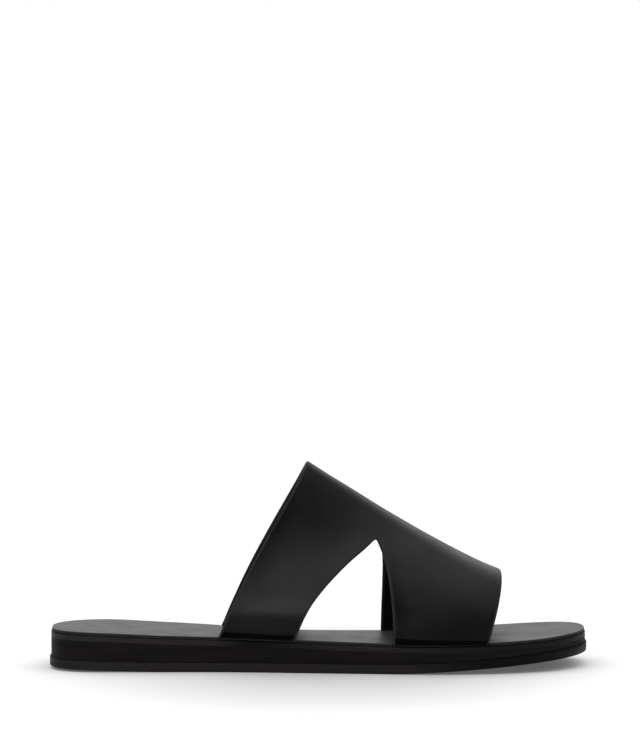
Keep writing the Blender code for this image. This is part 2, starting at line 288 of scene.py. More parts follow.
class FinishSettings(bpy.types.PropertyGroup):
    """Colours of the materials"""

    # Between these two colours runs the upper's tone, with its painted highlights and painted shade
    upper: colour((0.0012, 0.0012, 0.0016), "Upper", "Dark places of the black leather")
    upper_light: colour((0.0360, 0.0335, 0.0350), "Upper light", "Light places of the black leather")
    edge: colour((0.0240, 0.0232, 0.0240), "Cut edge", "Burnished cut edges")
    lining: colour((0.0100, 0.0100, 0.0104), "Lining", "Inner face of the upper")
    insole: colour((0.0545, 0.0512, 0.0482), "Insole", "Smooth leather of the insole")
    insole_edge: colour((0.0180, 0.0165, 0.0170), "Insole edge", "Dark cut edge of the insole")
    rand: colour((0.0250, 0.0215, 0.0222), "Rand", "Waxed edge of the rand")
    midsole: colour((0.0080, 0.0064, 0.0068), "Midsole", "Foam rubber of the midsole")
    outsole: colour((0.0240, 0.0208, 0.0214), "Outsole", "Rubber of the outsole")


class StageSettings(bpy.types.PropertyGroup):
    """Floor, light and camera"""

    floor: colour((0.85, 0.85, 0.85), "Floor", "Pale floor")
    floor_glow: share(0.12, "Floor glow", "Light that comes up through the floor")
    floor_radius: length(6.0, "Floor radius", "Radius of the floor")
    floor_shade: share(0.72, "Floor shade", "Tone of the floor next to the shoe")
    pool_length: length(0.174, "Shade length", "Half length of the floor's soft shade")
    pool_width: length(0.260, "Shade width", "Half width of the floor's soft shade")
    camera_distance: length(2.2, "Camera distance", "Camera to the middle of the sole")
    camera_elevation: bpy.props.FloatProperty(
        name="Camera elevation", description="Height of the view above the horizon",
        default=math.radians(6.5), subtype="ANGLE")
    lens: bpy.props.FloatProperty(
        name="Lens", description="Focal length in millimetres", default=210.0, min=1.0)
    room_light: brightness(0.28, "Room light", "Brightness in front of the shoe")
    top_light: brightness(1.02, "Top light", "Brightness added overhead")
    back_light: brightness(0.70, "Back light", "Brightness behind the shoe")
    reflected_room: brightness(0.07, "Reflected room", "Dark room that the leather mirrors")
    reflected_panel: brightness(0.80, "Reflected panel", "Bright panel that the leather mirrors")


SETTINGS = {
    "slide_sole": SoleSettings,
    "slide_upper": UpperSettings,
    "slide_finish": FinishSettings,
    "slide_stage": StageSettings,
}


def from_table(rows, where):
    """Values of a table at one place, on a smooth curve through its rows."""
    places = [row[0] for row in rows]
    last = len(rows) - 2
    index = 0
    while index < last and where > places[index + 1]:
        index += 1

    def slope(segment, column):
        segment = min(max(segment, 0), last)
        rise = rows[segment + 1][column] - rows[segment][column]
        return rise / (places[segment + 1] - places[segment])

    def tangent(row, column):
        before = places[row] - places[max(row - 1, 0)]
        after = places[min(row + 1, last + 1)] - places[row]
        total = before + after
        return (slope(row - 1, column) * after + slope(row, column) * before) / total

    span = places[index + 1] - places[index]
    part = (where - places[index]) / span
    values = []
    for column in range(1, len(rows[0])):
        low, high = rows[index][column], rows[index + 1][column]
        if part < 0 or part > 1:
            edge = index if part < 0 else index + 1
            values.append(rows[edge][column] + slope(index, column) * (where - places[edge]))
            continue
        square, cube = part * part, part * part * part
        values.append(
            low * (2 * cube - 3 * square + 1)
            + high * (3 * square - 2 * cube)
            + tangent(index, column) * span * (cube - 2 * square + part)
            + tangent(index + 1, column) * span * (cube - square)
        )
    return values


def mix(low, high, part):
    """Value at a part of the way from low to high."""
    return low + (high - low) * part


def rise_between(value, start, end):
    """Smooth step from 0 at the start to 1 at the end."""
    part = min(1.0, max(0.0, (value - start) / (end - start)))
    return part * part * (3 - 2 * part)


def rounding(distance, reach, fullness):
    """Share of the full width left at a distance from a rounded end."""
    if distance >= reach:
        return 1.0
    return max(0.0, 1.0 - (1.0 - distance / reach) ** fullness) ** (1.0 / fullness)


class Last:
    """The form that the sole follows: its plan and the heights of its layers."""

    toe_spring_curve = 1.35

    def __init__(self, sole, end_steps=26, side_steps=64):
        self.sole = sole
        self.end_steps = end_steps
        self.side_steps = side_steps
        lateral = min(point.y for point in self.side_points("lateral", 0))
        medial = max(point.y for point in self.side_points("medial", 0))
        self.middle = Vector((sole.length / 2, (lateral + medial) / 2, 0))

    def edge(self, along, side):
        """Y of the sole's edge at a distance from the heel."""
        sole = self.sole
        heel, ball, centre = from_table(PLAN, along / sole.length)
        width = heel * sole.heel_width + ball * sole.ball_width
        width += (1 - heel - ball) * sole.waist_width
        width *= rounding(along, sole.heel_rounding, HEEL_FULLNESS[side])
        width *= rounding(sole.length - along, sole.toe_rounding, TOE_FULLNESS[side])
        sign = -1 if side == "lateral" else 1
        return centre * sole.ball_width + sign * width / 2

    def ground(self, along):
        """Height of the tread: heel lift, flat, toe spring."""
        sole = self.sole
        heel = max(0.0, 1 - along / sole.heel_lift_reach)
        toe = max(0.0, 1 - (sole.length - along) / sole.toe_spring_reach)
        return sole.heel_lift * heel + sole.toe_spring * toe ** self.toe_spring_curve

    def insole_top(self, along):
        part, = from_table(THICKNESS, along / self.sole.length)
        thickness = mix(self.sole.toe_thickness, self.sole.heel_thickness, part)
        return self.ground(along) + thickness

    def insole_bottom(self, along):
        return self.insole_top(along) - self.sole.insole

    def rand_top(self, along):
        return self.insole_bottom(along) - self.sole.clearance

    def rand_bottom(self, along):
        return self.rand_top(along) - self.sole.rand

    def outsole_top(self, along):
        return self.ground(along) + self.sole.outsole

    def stations(self, side):
        """Distances from the heel for one side's points."""
        sole, ends = self.sole, self.end_steps
        result = []
        for step in range(ends):
            angle = math.pi / 2 * step / ends
            power = 2 / HEEL_FULLNESS[side]
            result.append(sole.heel_rounding * (1 - math.cos(angle) ** power))
        straight = sole.length - sole.heel_rounding - sole.toe_rounding
        for step in range(self.side_steps + 1):
            result.append(sole.heel_rounding + straight * step / self.side_steps)
        for step in range(ends - 1, -1, -1):
            angle = math.pi / 2 * step / ends
            power = 2 / TOE_FULLNESS[side]
            away = sole.toe_rounding * (1 - math.cos(angle) ** power)
            result.append(sole.length - away)
        return result

    def side_points(self, side, inset):
        """Plan points of one side from heel to toe, moved in by inset."""
        line = [Vector((along, self.edge(along, side))) for along in self.stations(side)]
        inward = -1 if side == "medial" else 1
        result = []
        for index, point in enumerate(line):
            if index == 0:
                normal = Vector((1, 0))
            elif index == len(line) - 1:
                normal = Vector((-1, 0))
            else:
                run = (line[index + 1] - line[index - 1]).normalized()
                normal = Vector((-run.y, run.x)) * inward
            result.append(point + normal * inset)
        return result


class Arch:
    """The outer surface of the upper and the lines of its cut edges."""

    fullness = 2.5
    toe_edge_curve = 1.25
    # Part of the ridge, from its rear end, at which the lines from the windows meet
    ridge_split = 0.36
    # Rows of faces lie closer together towards the foot
    row_spacing = 1.25
    # Height above the foot from which the bend has its full rise
    bend_start = 0.004
    # Height over which the foot draws in, as a multiple of the crease's height
    foot_tuck_reach = 1.3

    def __init__(self, last, upper):
        self.last = last
        self.upper = upper
        apex_rise = upper.window_height - self.seat(upper.apex)
        self.apex_share = apex_rise / self.rise(upper.apex)

    def seat(self, along):
        """Height at which the upper's foot stands, just over the rand."""
        return self.last.insole_bottom(along)

    def rise(self, along):
        """Height of the ridge above the seat."""
        upper = self.upper
        part = from_table(ARCH, along / self.last.sole.length)[0]
        return mix(upper.toe_height, upper.instep_height, part) - self.seat(along)

    def point(self, along, height, side):
        """Outer surface at a share of the arch's height on one side."""
        sole, upper = self.last.sole, self.upper
        _, ridge, lateral, medial = from_table(ARCH, along / sole.length)
        widest = (lateral if side == "lateral" else medial) * sole.ball_width
        ridge *= sole.ball_width
        inward = 1 if side == "lateral" else -1
        foot = self.last.edge(along, side) + inward * upper.inset
        spread = max(0.0, 1 - height ** self.fullness) ** (1 / self.fullness)
        tuck = max(0.0, 1 - height / upper.tuck) ** 2
        across = ridge + (widest - ridge) * spread + (foot - widest) * tuck
        above = self.rise(along) * height
        offset = (above - upper.bend_height) / upper.bend_softness
        bend = math.exp(-offset * offset) * min(1, above / self.bend_start)
        across -= inward * upper.bend_rise * bend
        crease_height = upper.rear_crease if along < upper.apex else upper.front_crease
        drawn_in = max(0.0, 1 - above / (self.foot_tuck_reach * crease_height)) ** 2
        across += inward * upper.foot_tuck * drawn_in
        return Vector((along, across, self.seat(along) + above))

    def edges(self, height, side):
        """Rear edge, both window edges and toe edge at a share of the height."""
        upper = self.upper
        rear_foot, front_foot = upper.rear_start, upper.front_start
        closing_share, lateral_share, medial_share = from_table(
            WINDOW, min(height / self.apex_share, 1.0))
        opening_share = lateral_share
        if side == "medial":
            rear_foot += upper.medial_rear_advance
            front_foot -= upper.medial_window_setback
            opening_share = medial_share
        rear = mix(rear_foot, upper.rear_peak, height)
        rear += REAR_EDGE_BOW[side] * height ** 2 * (1 - height)
        toe = upper.front_start + upper.front_length
        toe += upper.toe_lean * (1 - (1 - height) ** self.toe_edge_curve)
        if height < self.apex_share:
            closing = mix(upper.rear_start + upper.rear_length, upper.apex, closing_share)
            opening = mix(upper.apex, front_foot, opening_share)
        else:
            over = (height - self.apex_share) / (1 - self.apex_share)
            ridge = mix(rear, toe, self.ridge_split)
            closing = opening = mix(upper.apex, ridge, over)
        return rear, closing, opening, toe

    def heights(self, lower, top):
        """Shares of the height for the rows from the foot to the ridge."""
        rows = [self.apex_share * (row / lower) ** self.row_spacing for row in range(lower)]
        start = math.asin(self.apex_share ** (self.fullness / 2))
        for row in range(top + 1):
            angle = mix(start, math.pi / 2, row / top)
            rows.append(math.sin(angle) ** (2 / self.fullness))
        return rows

    def foot(self, strap, side):
        """First and last place along the sole that a strap takes up in the insole."""
        sole = self.last.sole
        top = (sole.insole + sole.clearance) / self.rise(self.upper.front_start)
        pick = (0, 1) if strap == "rear" else (2, 3)
        spans = [self.edges(height, side) for height in (0, top)]
        return min(span[pick[0]] for span in spans), max(span[pick[1]] for span in spans)


def mesh_from(build, name):
    """A mesh made from a bmesh, which is freed."""
    mesh = bpy.data.meshes.new(name)
    build.to_mesh(mesh)
    build.free()
    return mesh


def place_object(name, data):
    """A new object in the scene."""
    made = bpy.data.objects.new(name, data)
    bpy.context.scene.collection.objects.link(made)
    return made


def add_piece(name, build, last, node, materials):
    """Turn a finished bmesh into a piece that stands for one node of the frame."""
    bmesh.ops.recalc_face_normals(build, faces=build.faces)
    mesh = mesh_from(build, name)
    mesh.transform(Matrix.Translation(-last.middle))
    for material in materials:
        mesh.materials.append(material)
    mesh.shade_smooth()
    piece = place_object(name, mesh)
    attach(piece, "root")
    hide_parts(node)
    return piece


def rounded_rim(inset, height, radius, steps):
    """Rows of a layer's profile that round its upper edge, from the side inwards."""
    rows = []
    for step in range(steps + 1):
        angle = math.pi / 2 * step / steps
        rows.append((
            inset + radius * (1 - math.cos(angle)), height, radius * (math.sin(angle) - 1)))
    return rows


def loft_layer(build, last, profile, across, tone_column=None):
    """One layer of the sole: rings round the plan, capped by strips across it.

    Each row of the profile is an inset from the plan and the function and
    offset that give the ring's height. The tone of the side comes from one
    column of SIDE_TONES.
    """
    tones = build.verts.layers.float.new("tone_and_painted_light")
    rings = []
    for inset, height, offset in profile:
        lateral = last.side_points("lateral", inset)
        medial = last.side_points("medial", inset)
        ring = lateral + medial[-2:0:-1]
        rings.append([
            build.verts.new((point.x, point.y, height(point.x) + offset))
            for point in ring
        ])
        if tone_column is not None:
            for vert in rings[-1]:
                along = min(1.0, max(0.0, vert.co.x / last.sole.length))
                value = from_table(SIDE_TONES, along)[tone_column]
                vert[tones] = min(1.0, max(0.0, value))
    count = len(rings[0])
    for low, high in zip(rings, rings[1:]):
        for index in range(count):
            after = (index + 1) % count
            build.faces.new((low[index], low[after], high[after], high[index]))
    for ring in (rings[0], rings[-1]):
        cap(build, ring, across)


def cap(build, ring, across):
    """Close a ring with strips of faces from its outer to its inner side."""
    tip = len(ring) // 2
    lines = []
    for index in range(1, tip):
        start, end = ring[index], ring[-index]
        line = [start]
        for step in range(1, across):
            line.append(build.verts.new(start.co.lerp(end.co, step / across)))
        lines.append(line + [end])
    for before, after in zip(lines, lines[1:]):
        for step in range(across):
            build.faces.new((before[step], before[step + 1], after[step + 1], after[step]))
    for point, line in ((ring[0], lines[0]), (ring[tip], lines[-1])):
        for step in range(across):
            build.faces.new((point, line[step], line[step + 1]))


def rounded_shell(build, thickness, depth, steps):
    """Give an open sheet a thickness, with half-round cut edges.

    The sheet is the outer face. Faces get material 0 outside, 1 on the cut
    edges and 2 inside.
    """
    least_turn = 0.7
    build.normal_update()
    outer = list(build.verts)
    normals = {vert: vert.normal.copy() for vert in outer}
    outward = {}
    border = [edge for edge in build.edges if edge.is_boundary]
    for edge in border:
        face = edge.link_faces[0]
        run = (edge.verts[1].co - edge.verts[0].co).normalized()
        away = run.cross(face.normal).normalized()
        if away.dot(face.calc_center_median() - edge.verts[0].co) > 0:
            away.negate()
        for vert in edge.verts:
            outward.setdefault(vert, []).append(away)
    moves = {}
    for vert, aways in outward.items():
        total = sum(aways, Vector()).normalized()
        stretch = 1 / max(least_turn, total.dot(aways[0]))
        moves[vert] = total * stretch
    faces = list(build.faces)
    inner = {vert: build.verts.new(vert.co - normals[vert] * thickness) for vert in outer}
    for face in faces:
        face.material_index = 0
        back = build.faces.new([inner[vert] for vert in reversed(face.verts)])
        back.material_index = 2
    arcs = {}
    for vert, away in moves.items():
        middle = vert.co - away * depth - normals[vert] * thickness / 2
        arc = [vert]
        for step in range(1, steps):
            angle = math.pi * step / steps
            arc.append(build.verts.new(
                middle + away * depth * math.sin(angle)
                + normals[vert] * thickness / 2 * math.cos(angle)
            ))
        arcs[vert] = arc + [inner[vert]]
    for vert, away in moves.items():
        inner[vert].co -= away * depth
        vert.co -= away * depth
    for edge in border:
        first, second = edge.verts
        for step in range(steps):
            face = build.faces.new((
                arcs[first][step], arcs[second][step],
                arcs[second][step + 1], arcs[first][step + 1],
            ))
            face.material_index = 1


def crease(arch, strap, above):
    """Depth of the painted shade line in the crease at the strap's foot, 1 in its middle."""
    middle = arch.upper.rear_crease if strap == "rear" else arch.upper.front_crease
    return math.exp(-2 * ((above - middle) / middle) ** 2)


def tone_with_painted_light(arch, strap, point):
    """Tone of the leather at one place: its light and dark spots, mostly painted highlights and
    shade, the painted shade below the strap's bend and the painted shade line in the crease at its
    foot.
    """
    value = HIDE_MIDDLE
    for along, height, wide, high, amount in HIDE_MARKS_AND_PAINTED_LIGHT:
        reach = ((point.x - along) / wide) ** 2 + ((point.z - height) / high) ** 2
        value += amount * math.exp(-reach / 2)
    darkening = STRAP_FEET[strap][0]
    above = point.z - arch.seat(point.x)
    over = above - arch.upper.bend_height + FOOT_SHADE_DROP
    shaded_foot = 1 / (1 + math.exp(over / FOOT_SHADE_SOFTNESS))
    return max(0.0, value) * (1 - shaded_foot * darkening) * (1 - crease(arch, strap, above))


def dullness(arch, strap, point):
    """How far the leather has lost its gloss near the strap's foot, 0 to 1."""
    _, gloss, start, end = STRAP_FEET[strap]
    above = point.z - arch.seat(point.x)
    kept = mix(gloss, 1.0, rise_between(above, start, end))
    return 1 - kept * (1 - crease(arch, strap, above))


def upper_sheet(build, arch, columns, lower, top):
    """The outer face of both straps, joined above the windows."""
    tolerance = 1e-9
    tones = build.verts.layers.float.new("tone_and_painted_light")
    dull = build.verts.layers.float.new("dull")
    # Faces in the crease at the strap's foot, which take the painted shade
    shaded_foot = build.faces.layers.int.new("shaded_foot")
    shares = arch.heights(lower, top)
    rows = [("lateral", height) for height in shares]
    rows += [("medial", height) for height in shares[-2::-1]]
    straps = {strap: [] for strap in STRAPS}
    for side, height in rows:
        rear, closing, opening, toe = arch.edges(height, side)
        joined = height >= arch.apex_share - tolerance
        spans = {"rear": (rear, closing), "front": (opening, toe)}
        for strap, (start, end) in spans.items():
            line = []
            for column in range(columns + 1):
                along = mix(start, end, column / columns)
                if strap == "front" and column == 0 and joined:
                    line.append(straps["rear"][-1][-1])
                    continue
                vert = build.verts.new(arch.point(along, height, side))
                vert[tones] = tone_with_painted_light(arch, strap, vert.co)
                vert[dull] = dullness(arch, strap, vert.co)
                line.append(vert)
            straps[strap].append(line)
    for strap, lines in straps.items():
        for row, (below, above) in enumerate(zip(lines, lines[1:])):
            from_foot = min(row, len(lines) - 2 - row)
            for column in range(columns):
                face = build.faces.new((
                    below[column], below[column + 1], above[column + 1], above[column],
                ))
                face[shaded_foot] = from_foot in SHADED_FOOT_ROWS[strap]
    bmesh.ops.recalc_face_normals(build, faces=build.faces)
    highest = max(build.faces, key=lambda face: face.calc_center_median().z)
    if highest.normal.z < 0:
        bmesh.ops.reverse_faces(build, faces=build.faces)


def new_material(name, base, roughness):
    """A new material, its nodes, its shader and the place on the object."""
    material = bpy.data.materials.new(name)
    material.use_nodes = True
    tree = material.node_tree
    shader = tree.nodes["Principled BSDF"]
    shader.inputs["Base Color"].default_value = (*base, 1)
    shader.inputs["Roughness"].default_value = roughness
    place = tree.nodes.new("ShaderNodeTexCoord")
    return material, tree, shader, place.outputs["Object"]


def make_node(tree, kind, sockets=None, **settings):
    """Add a node, with its settings and the values or links of its sockets."""
    made = tree.nodes.new(kind)
    for key, value in settings.items():
        setattr(made, key, value)
    for key, value in (sockets or {}).items():
        if isinstance(value, bpy.types.NodeSocket):
            tree.links.new(value, made.inputs[key])
        else:
            made.inputs[key].default_value = value
    return made


def maths(tree, operation, *values):
    """Result of a math node."""
    return make_node(
        tree, "ShaderNodeMath", dict(enumerate(values)), operation=operation).outputs[0]


def ramp(tree, value, start, end, low=0.0, high=1.0, kind="LINEAR"):
    """Run from low to high while the value goes from start to end."""
    return make_node(
        tree, "ShaderNodeMapRange",
        {"Value": value, "From Min": start, "From Max": end, "To Min": low, "To Max": high},
        interpolation_type=kind).outputs[0]


def attribute(tree, name):
    """A value that the mesh holds at each point."""
    return make_node(tree, "ShaderNodeAttribute", attribute_name=name).outputs["Fac"]


def leather_grain(tree, given):
    """Fine pebble of smooth leather: small rounded cells over faint creases."""
    finer, coarser, pore_depth = 2.3, 0.11, 0.5
    cells = make_node(
        tree, "ShaderNodeTexVoronoi",
        {"Vector": given["Vector"], "Scale": given["Cells per metre"]},
        feature="SMOOTH_F1")
    fine = maths(tree, "MULTIPLY", given["Cells per metre"], finer)
    pores = make_node(
        tree, "ShaderNodeTexNoise",
        {"Vector": given["Vector"], "Scale": fine, "Detail": 2.0})
    coarse = maths(tree, "MULTIPLY", given["Cells per metre"], coarser)
    creases = make_node(
        tree, "ShaderNodeTexNoise",
        {"Vector": given["Vector"], "Scale": coarse, "Detail": 4.0, "Roughness": 0.6})
    domes = maths(tree, "SUBTRACT", 1.0, cells.outputs["Distance"])
    pitted = maths(tree, "MULTIPLY", pores.outputs[0], pore_depth)
    surface = maths(tree, "ADD", domes, pitted)
    weighted = maths(tree, "MULTIPLY", creases.outputs[0], given["Creases"])
    return maths(tree, "ADD", surface, weighted)


def soft_mottling(tree, given):
    """Slow change of tone or gloss over a hide."""
    clouds = make_node(
        tree, "ShaderNodeTexNoise",
        {"Vector": given["Vector"], "Scale": given["Patches per metre"], "Detail": 3.0})
    return ramp(tree, clouds.outputs[0], 0.3, 0.7, given["Low"], given["High"])


def rubbed_streaks(tree, given):
    """Long faint streaks along a side that was ground and waxed."""
    per_metre = (28.0, 28.0, 420.0)
    stretched = make_node(
        tree, "ShaderNodeMapping", {"Vector": given["Vector"], "Scale": per_metre})
    streaks = make_node(
        tree, "ShaderNodeTexNoise",
        {"Vector": stretched.outputs[0], "Scale": 1.0, "Detail": 3.0, "Roughness": 0.55})
    return ramp(tree, streaks.outputs[0], 0.3, 0.72, given["Low"], given["High"])


# Node groups that the materials share. Each has what fills it, its output, and
# its inputs besides the place on the object.
GROUPS = {
    "leather grain": (
        leather_grain, "Height", {"Cells per metre": 1800.0, "Creases": 0.5}),
    "soft mottling": (
        soft_mottling, "Value", {"Patches per metre": 60.0, "Low": 0.0, "High": 1.0}),
    "rubbed streaks": (rubbed_streaks, "Value", {"Low": 0.0, "High": 1.0}),
}


def shared_group(name):
    """The node group of this name, built when it is first asked for."""
    if name in bpy.data.node_groups:
        return bpy.data.node_groups[name]
    fill, output, values = GROUPS[name]
    tree = bpy.data.node_groups.new(name, "ShaderNodeTree")
    interface = tree.interface
    interface.new_socket(name="Vector", in_out="INPUT", socket_type="NodeSocketVector")
    for label, value in values.items():
        socket = interface.new_socket(
            name=label, in_out="INPUT", socket_type="NodeSocketFloat")
        socket.default_value = value
    interface.new_socket(name=output, in_out="OUTPUT", socket_type="NodeSocketFloat")
    given = tree.nodes.new("NodeGroupInput").outputs
    leave = tree.nodes.new("NodeGroupOutput").inputs
    tree.links.new(fill(tree, given), leave[output])
    return tree


def grouped(tree, name, place, **values):
    """Output of a shared node group. In the values' names, _ stands for a space."""
    sockets = {key.replace("_", " "): value for key, value in values.items()}
    made = make_node(
        tree, "ShaderNodeGroup", {"Vector": place, **sockets}, node_tree=shared_group(name))
    return made.outputs[0]


def paint(tree, shader, value, dark, light):
    """Base colour that runs from dark to light with a value."""
    blend = make_node(
        tree, "ShaderNodeMix",
        {"Factor": value, "A": (*dark, 1), "B": (*light, 1)}, data_type="RGBA")
    tree.links.new(blend.outputs["Result"], shader.inputs["Base Color"])


def shade(tree, shader, value, base, dark, light):
    """Base colour that runs between two multiples of the same colour."""
    paint(
        tree, shader, value, [part * dark for part in base], [part * light for part in base])


def bump(tree, shader, height, distance):
    """Relief of a surface, in metres."""
    made = make_node(
        tree, "ShaderNodeBump", {"Height": height, "Distance": distance, "Strength": 1.0})
    tree.links.new(made.outputs[0], shader.inputs["Normal"])


def leather_material(name, base, roughness, cells, depth, gloss, light=None):
    """Smooth leather: fine grain, slow mottling of tone and of gloss.

    With a light tone, the colour runs from base to light with the tone that the
    mesh holds at each point, painted highlights and shade included, and the "dull"
    attribute makes it rougher.
    """
    spots, dull_roughness = 0.07, 0.5
    material, tree, shader, place = new_material(name, base, roughness)
    mottle = grouped(tree, "soft mottling", place, Patches_per_metre=45.0)
    rough = grouped(
        tree, "soft mottling", place, Patches_per_metre=90.0,
        Low=roughness - 0.04, High=roughness + 0.05)
    if light is None:
        shade(tree, shader, mottle, base, dark=0.8, light=1.25)
    else:
        change = maths(tree, "MULTIPLY_ADD", mottle, 2 * spots, -spots)
        paint(tree, shader, maths(tree, "ADD", attribute(tree, "tone_and_painted_light"), change), base, light)
        worn = maths(tree, "MULTIPLY", attribute(tree, "dull"), dull_roughness)
        rough = maths(tree, "ADD", rough, worn)
    tree.links.new(rough, shader.inputs["Roughness"])
    bump(tree, shader, grouped(tree, "leather grain", place, Cells_per_metre=cells), depth)
    shader.inputs["Specular IOR Level"].default_value = gloss
    return material


def side_material(name, base, roughness, depth, gloss, toned=False):
    """Ground and waxed side of a sole layer, with faint streaks along it.

    A toned side follows the tone that the mesh holds at each point, with its
    painted shade, from dark to nearly the base colour.
    """
    least_wear, polish = 0.8, 0.08
    material, tree, shader, place = new_material(name, base, roughness)
    streaks = grouped(tree, "rubbed streaks", place)
    if toned:
        # Real streaks, times the side's tone; in the rand that tone holds painted shade under the
        # rear strap's foot
        worn = maths(tree, "ADD", streaks, least_wear)
        worn = maths(tree, "MULTIPLY", worn, attribute(tree, "tone_and_painted_light"))
        shade(tree, shader, worn, base, dark=0.15, light=0.88)
    else:
        shade(tree, shader, streaks, base, dark=0.75, light=1.3)
    wax = grouped(
        tree, "rubbed streaks", place, Low=roughness + polish, High=roughness - polish)
    tree.links.new(wax, shader.inputs["Roughness"])
    fine = grouped(tree, "leather grain", place, Cells_per_metre=2600.0, Creases=1.2)
    bump(tree, shader, fine, depth)
    shader.inputs["Specular IOR Level"].default_value = gloss
    return material


class SLIDE_OT_outsole(bpy.types.Operator):
    """Rubber outsole with rounded edges, a little proud of the layers above"""

    bl_idname = "slide_sandal.outsole"
    bl_label = "Outsole"

    bottom_radius = 0.0004
    top_radius = 0.0005
    # Ring under the sole that keeps the rounded lower edge apart from the tread
    tread_margin = 0.001
    bottom_steps = 6

    def execute(self, context):
        last = Last(context.scene.slide_sole)
        material = side_material(
            "outsole rubber", context.scene.slide_finish.outsole,
            roughness=0.55, depth=0.00005, gloss=0.08, toned=True)
        bottom, top = self.bottom_radius, self.top_radius
        profile = [(bottom + self.tread_margin, last.ground, 0)]
        for step in range(self.bottom_steps + 1):
            angle = math.pi / 2 * step / self.bottom_steps
            profile.append((
                bottom * (1 - math.sin(angle)), last.ground, bottom * (1 - math.cos(angle))))
        profile.append((0, last.outsole_top, -top * 2))
        profile += rounded_rim(0, last.outsole_top, top, 4)
        build = bmesh.new()
        loft_layer(build, last, profile, 4, tone_column=1)
        add_piece("outsole_rubber", build, last, "outsole", [material])
        return {"FINISHED"}


class SLIDE_OT_midsole(bpy.types.Operator):
    """Foam midsole, ground flush with the rand"""

    bl_idname = "slide_sandal.midsole"
    bl_label = "Midsole"

    edge_radius = 0.0001
    seam = 0.00002

    def execute(self, context):
        sole = context.scene.slide_sole
        last = Last(sole)
        material = side_material(
            "midsole foam", context.scene.slide_finish.midsole,
            roughness=0.62, depth=0.00008, gloss=0.08)
        inset, radius, seam = sole.midsole_step, self.edge_radius, self.seam
        profile = (
            (inset + radius, last.outsole_top, seam),
            (inset, last.outsole_top, seam + radius),
            (inset, last.outsole_top, seam + radius * 3),
            (inset, last.rand_bottom, -seam - radius * 3),
            (inset, last.rand_bottom, -seam - radius),
            (inset + radius, last.rand_bottom, -seam),
        )
        build = bmesh.new()
        loft_layer(build, last, profile, 2)
        add_piece("midsole_foam", build, last, "midsole", [material])
        return {"FINISHED"}


class SLIDE_OT_rand(bpy.types.Operator):
    """Waxed band between the midsole and the insole"""

    bl_idname = "slide_sandal.rand"
    bl_label = "Rand"

    edge_radius = 0.0005

    def execute(self, context):
        sole = context.scene.slide_sole
        last = Last(sole)
        material = side_material(
            "rand leather", context.scene.slide_finish.rand,
            roughness=0.50, depth=0.00006, gloss=0.09, toned=True)
        inset, radius = sole.midsole_step, self.edge_radius
        profile = [
            (inset + radius * 0.2, last.rand_bottom, 0),
            (inset, last.rand_bottom, radius * 0.2),
            (inset, last.rand_bottom, radius * 0.6),
            (inset, last.rand_top, -radius * 1.5),
            *rounded_rim(inset, last.rand_top, radius, 4),
            (inset + radius * 3, last.rand_top, 0),
        ]
        build = bmesh.new()
        loft_layer(build, last, profile, 2, tone_column=0)
        add_piece("rand_leather", build, last, "rand", [material])
        return {"FINISHED"}


class SLIDE_OT_insole(bpy.types.Operator):
    """Thin leather insole, notched round the feet of the straps"""

    bl_idname = "slide_sandal.insole"
    bl_label = "Insole"

    edge_radius = 0.0005
    # The strap's foot leans, so its notch is deeper than its thickness
    lean_allowance = 1.10
    notch_steps = 16
    # Faces whose normal points up or down by less than this are cut edge
    edge_slope = 0.5
    sharp_angle = math.radians(40)

    def notch(self, last, arch, strap, side):
        """Cutter for the foot of one strap, square to the sole's edge at its ends."""
        sole, upper = last.sole, arch.upper
        start, end = arch.foot(strap, side)
        start -= sole.clearance
        end += sole.clearance
        depth = upper.inset + upper.wall * self.lean_allowance + sole.clearance
        inward = 1 if side == "lateral" else -1
        probe = (end - start) / self.notch_steps
        inner, outer = [], []
        for step in range(self.notch_steps + 1):
            along = start + probe * step
            rise = last.edge(along + probe, side) - last.edge(along - probe, side)
            normal = Vector((-rise, 2 * probe)).normalized() * inward
            edge = Vector((along, last.edge(along, side)))
            inner.append(edge + normal * depth)
            outer.append(edge - normal * depth)
        build = bmesh.new()
        floor = [build.verts.new((point.x, point.y, 0)) for point in inner + outer[::-1]]
        raised = bmesh.ops.extrude_face_region(build, geom=[build.faces.new(floor)])
        top = [item for item in raised["geom"] if isinstance(item, bmesh.types.BMVert)]
        bmesh.ops.translate(build, verts=top, vec=(0, 0, upper.instep_height))
        bmesh.ops.recalc_face_normals(build, faces=build.faces)
        cutter = place_object("notch", mesh_from(build, "notch"))
        cutter.location = -last.middle
        return cutter

    def execute(self, context):
        scene = context.scene
        sole = scene.slide_sole
        last = Last(sole)
        arch = Arch(last, scene.slide_upper)
        top = leather_material(
            "insole leather", scene.slide_finish.insole,
            roughness=0.42, cells=1500.0, depth=0.00004, gloss=0.5)
        edge = leather_material(
            "insole cut edge", scene.slide_finish.insole_edge,
            roughness=0.55, cells=2600.0, depth=0.00004, gloss=0.1)
        inset, radius = sole.midsole_step + sole.insole_step, self.edge_radius
        profile = [
            (inset + radius * 0.4, last.insole_bottom, 0),
            (inset, last.insole_bottom, radius * 0.4),
            *rounded_rim(inset, last.insole_top, radius, 5),
            (inset + radius * 3, last.insole_top, 0),
        ]
        build = bmesh.new()
        loft_layer(build, last, profile, 10)
        build.normal_update()
        for face in build.faces:
            if abs(face.normal.z) < self.edge_slope:
                face.material_index = 1
        piece = add_piece("insole_leather", build, last, "insole", [top, edge])
        cutters = []
        for strap in STRAPS:
            for side in SIDES:
                cutter = self.notch(last, arch, strap, side)
                cut = piece.modifiers.new(f"{strap} {side} notch", "BOOLEAN")
                cut.operation = "DIFFERENCE"
                cut.solver = "EXACT"
                cut.object = cutter
                cutters.append(cutter)
        seen = piece.evaluated_get(context.evaluated_depsgraph_get())
        piece.data = bpy.data.meshes.new_from_object(seen)
        piece.modifiers.clear()
        for cutter in cutters:
            bpy.data.objects.remove(cutter, do_unlink=True)
        piece.data.set_sharp_from_angle(angle=self.sharp_angle)
        return {"FINISHED"}


